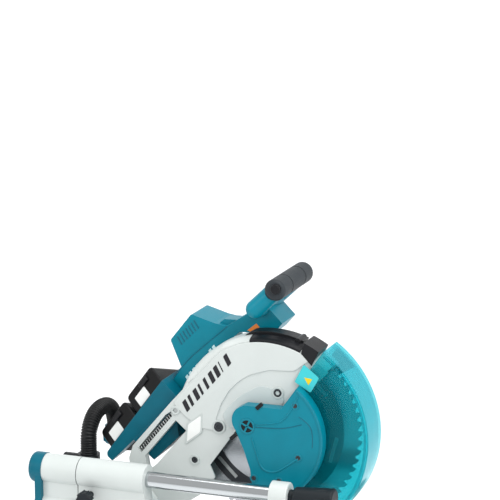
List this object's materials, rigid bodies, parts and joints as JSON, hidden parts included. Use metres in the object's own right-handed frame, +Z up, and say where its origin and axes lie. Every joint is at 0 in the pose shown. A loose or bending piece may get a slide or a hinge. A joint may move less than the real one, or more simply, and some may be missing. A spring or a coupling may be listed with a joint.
{
  "type": "mitre saw on stand",
  "caption": "Cordless sliding compound mitre saw with side-by-side battery packs, tinted guard and dust hose, bolted on a folding stand with extension rollers.",
  "frame": {"origin": "on the floor, at the middle of the bounding box seen from above", "axes": "+X to the right of a person using the saw, +Y away from them along the cut, +Z up"},
  "size_m": [1.21, 0.795, 1.4195],
  "materials": {
    "beam_metal": "brushed, clear coated",
    "stand_steel": "satin paint",
    "dark_steel": "satin paint",
    "bare_steel": "bright zinc",
    "rail_steel": "polished hard chrome",
    "rubber": "matt",
    "black_plastic": "fine texture",
    "knob_plastic": "fine texture",
    "cast_white": "satin paint on casting",
    "cast_grey": "satin paint on casting",
    "table_metal": "milled",
    "teal_plastic": "satin moulding",
    "teal_dark": "satin moulding",
    "grip_rubber": "soft, fine texture",
    "battery_plastic": "fine texture",
    "hose_plastic": "ribbed, matt",
    "blade_steel": "ground",
    "guard_clear": "tinted clear plastic"
  },
  "bodies": {
    "stand": {"stand_beam": "beam_metal", "beam_end_caps": "black_plastic", "saw_brackets": "dark_steel", "saw_bolts": "bare_steel", "hinge_brackets": "dark_steel", "leg_hinge_pins": "bare_steel", "base_casting": "cast_grey", "fixed_fence": "table_metal"},
    "leg_left": {"leg_frame_left": "stand_steel", "feet_left": "rubber"},
    "leg_right": {"leg_frame_right": "stand_steel", "feet_right": "rubber"},
    "pin_left": {"lock_pin_left": "black_plastic"},
    "pin_right": {"lock_pin_right": "black_plastic"},
    "arm_left": {"extension_arm_left": "dark_steel"},
    "arm_right": {"extension_arm_right": "dark_steel"},
    "post_left": {"roller_post_left": "bare_steel"},
    "post_right": {"roller_post_right": "bare_steel"},
    "drum_left": {"roller_left": "black_plastic"},
    "drum_right": {"roller_right": "black_plastic"},
    "knob_left": {"arm_knob_left": "knob_plastic"},
    "knob_right": {"arm_knob_right": "knob_plastic"},
    "fence_left": {"sliding_fence_left": "table_metal"},
    "fence_right": {"sliding_fence_right": "table_metal"},
    "table": {"turntable": "table_metal", "kerf_boards": "black_plastic", "bevel_pin": "bare_steel"},
    "grip_mitre": {"mitre_grip": "knob_plastic"},
    "latch_mitre": {"mitre_latch": "teal_plastic"},
    "rails": {"bevel_arm": "cast_white", "rear_cap": "teal_dark", "slide_rails": "rail_steel", "front_bracket": "cast_white"},
    "knob_bevel": {"bevel_knob": "knob_plastic"},
    "slider": {"carriage": "cast_white", "pivot_shaft": "bare_steel", "dust_elbow": "black_plastic"},
    "knob_slide": {"slide_lock_knob": "knob_plastic"},
    "pin_stop": {"stopper_pin": "knob_plastic"},
    "head": {"blade_case": "cast_white", "case_strip": "black_plastic", "case_nose": "black_plastic", "gear_housing": "cast_grey", "motor_housing": "teal_plastic", "battery_mount": "teal_dark", "handle": "teal_plastic", "grip": "grip_rubber", "dust_hose": "hose_plastic"},
    "rotor": {"motor_rotor": "dark_steel"},
    "button_trigger": {"trigger": "black_plastic"},
    "button_lock_off": {"lock_off_button": "black_plastic"},
    "pack_upper": {"battery_upper": "battery_plastic"},
    "pack_lower": {"battery_lower": "battery_plastic"},
    "release_upper": {"battery_latch_upper": "black_plastic"},
    "release_lower": {"battery_latch_lower": "black_plastic"},
    "blade": {"saw_blade": "blade_steel", "blade_flanges": "bare_steel", "spindle": "bare_steel"},
    "guard": {"guard_shell": "guard_clear", "centre_cover": "teal_plastic"}
  },
  "joints": [
    {"name": "leg_left_fold", "type": "hinge", "parent": "stand", "child": "leg_left", "pos_m": [-0.43, 0.01, 0.625], "axis": [0, 1, 0], "range_deg": [-102, 0]},
    {"name": "leg_right_fold", "type": "hinge", "parent": "stand", "child": "leg_right", "pos_m": [0.43, 0.01, 0.58], "axis": [0, 1, 0], "range_deg": [0, 102]},
    {"name": "lock_pin_left_pull", "type": "slide", "parent": "stand", "child": "pin_left", "axis": [0, -1, 0], "range_m": [0, 0.008], "stiffness_N_per_m": 600, "springref_m": -0.008},
    {"name": "lock_pin_right_pull", "type": "slide", "parent": "stand", "child": "pin_right", "axis": [0, -1, 0], "range_m": [0, 0.008], "stiffness_N_per_m": 600, "springref_m": -0.008},
    {"name": "arm_left_extend", "type": "slide", "parent": "stand", "child": "arm_left", "axis": [1, 0, 0], "range_m": [-0.4, 0]},
    {"name": "arm_right_extend", "type": "slide", "parent": "stand", "child": "arm_right", "axis": [1, 0, 0], "range_m": [0, 0.4]},
    {"name": "post_left_height", "type": "slide", "parent": "arm_left", "child": "post_left", "axis": [0, 0, 1], "range_m": [-0.02, 0.06]},
    {"name": "roller_left_spin", "type": "hinge", "parent": "post_left", "child": "drum_left", "pos_m": [-0.59, 0.01, 0.815], "axis": [0, 1, 0], "continuous": true},
    {"name": "arm_knob_left_turn", "type": "hinge", "parent": "stand", "child": "knob_left", "pos_m": [-0.5, -0.045, 0.675], "axis": [0, 1, 0], "range_deg": [-180, 0]},
    {"name": "post_right_height", "type": "slide", "parent": "arm_right", "child": "post_right", "axis": [0, 0, 1], "range_m": [-0.02, 0.06]},
    {"name": "roller_right_spin", "type": "hinge", "parent": "post_right", "child": "drum_right", "pos_m": [0.59, 0.01, 0.815], "axis": [0, 1, 0], "continuous": true},
    {"name": "arm_knob_right_turn", "type": "hinge", "parent": "stand", "child": "knob_right", "pos_m": [0.5, 0.065, 0.675], "axis": [0, 1, 0], "range_deg": [0, 180]},
    {"name": "fence_left_slide", "type": "slide", "parent": "stand", "child": "fence_left", "axis": [1, 0, 0], "range_m": [0, 0.13]},
    {"name": "fence_right_slide", "type": "slide", "parent": "stand", "child": "fence_right", "axis": [1, 0, 0], "range_m": [-0.13, 0]},
    {"name": "mitre_turn", "type": "hinge", "parent": "stand", "child": "table", "pos_m": [0, 0.0265, 0.83], "axis": [0, 0, 1], "range_deg": [-50, 50]},
    {"name": "mitre_grip_turn", "type": "hinge", "parent": "table", "child": "grip_mitre", "pos_m": [0, -0.3395, 0.798], "axis": [0, 1, 0], "range_deg": [-90, 90]},
    {"name": "mitre_latch_press", "type": "hinge", "parent": "table", "child": "latch_mitre", "pos_m": [0, -0.3105, 0.823], "axis": [1, 0, 0], "range_deg": [0, 3], "stiffness_Nm_per_rad": 2, "springref_deg": -3.44},
    {"name": "bevel_tilt", "type": "hinge", "parent": "table", "child": "rails", "pos_m": [0, 0.2615, 0.83], "axis": [0, 1, 0], "range_deg": [-45, 45]},
    {"name": "bevel_knob_turn", "type": "hinge", "parent": "rails", "child": "knob_bevel", "pos_m": [-0.106, -0.0835, 1.092], "axis": [0, 1, 0], "range_deg": [-90, 90]},
    {"name": "carriage_slide", "type": "slide", "parent": "rails", "child": "slider", "axis": [0, -1, 0], "range_m": [0, 0.2]},
    {"name": "slide_lock_turn", "type": "hinge", "parent": "slider", "child": "knob_slide", "pos_m": [-0.137, 0.2885, 1.061], "axis": [1, 0, 0], "range_deg": [-180, 180]},
    {"name": "stopper_pull", "type": "slide", "parent": "slider", "child": "pin_stop", "axis": [1, 0, 0], "range_m": [0, 0.01]},
    {"name": "chop", "type": "hinge", "parent": "slider", "child": "head", "pos_m": [0, 0.2365, 1.023], "axis": [1, 0, 0], "range_deg": [0, 44], "stiffness_Nm_per_rad": 10.5, "springref_deg": -83.08, "deforming": ["dust_hose"]},
    {"name": "blade_spin", "type": "hinge", "parent": "head", "child": "blade", "pos_m": [0, 0.02083, 1.16796], "axis": [1, 0, 0], "continuous": true},
    {"name": "guard_open", "type": "hinge", "parent": "head", "child": "guard", "pos_m": [0, 0.02083, 1.16796], "axis": [1, 0, 0], "range_deg": [-100, 0]},
    {"name": "rotor_spin", "type": "hinge", "parent": "head", "child": "rotor", "pos_m": [0.06, 0.15518, 1.28534], "axis": [1, 0, 0], "continuous": true},
    {"name": "trigger_press", "type": "slide", "parent": "head", "child": "button_trigger", "axis": [0, -0.7071, 0.7071], "range_m": [0, 0.004], "stiffness_N_per_m": 500, "springref_m": -0.006},
    {"name": "lock_off_press", "type": "slide", "parent": "head", "child": "button_lock_off", "axis": [1, 0, 0], "range_m": [0, 0.004], "stiffness_N_per_m": 400, "springref_m": -0.004},
    {"name": "battery_upper_slide", "type": "slide", "parent": "head", "child": "pack_upper", "axis": [-0.9063, 0.3388, 0.2526], "range_m": [0, 0.07]},
    {"name": "battery_upper_release", "type": "slide", "parent": "pack_upper", "child": "release_upper", "axis": [0.9063, -0.3388, -0.2526], "range_m": [0, 0.003], "stiffness_N_per_m": 400, "springref_m": -0.004},
    {"name": "battery_lower_slide", "type": "slide", "parent": "head", "child": "pack_lower", "axis": [-0.9063, 0.3388, 0.2526], "range_m": [0, 0.07]},
    {"name": "battery_lower_release", "type": "slide", "parent": "pack_lower", "child": "release_lower", "axis": [0.9063, -0.3388, -0.2526], "range_m": [0, 0.003], "stiffness_N_per_m": 400, "springref_m": -0.004}
  ],
  "couplings": [
    {"joint": "guard_open", "follows": "chop", "ratio": -2.2727},
    {"joint": "rotor_spin", "follows": "blade_spin", "ratio": 3.5}
  ]
}
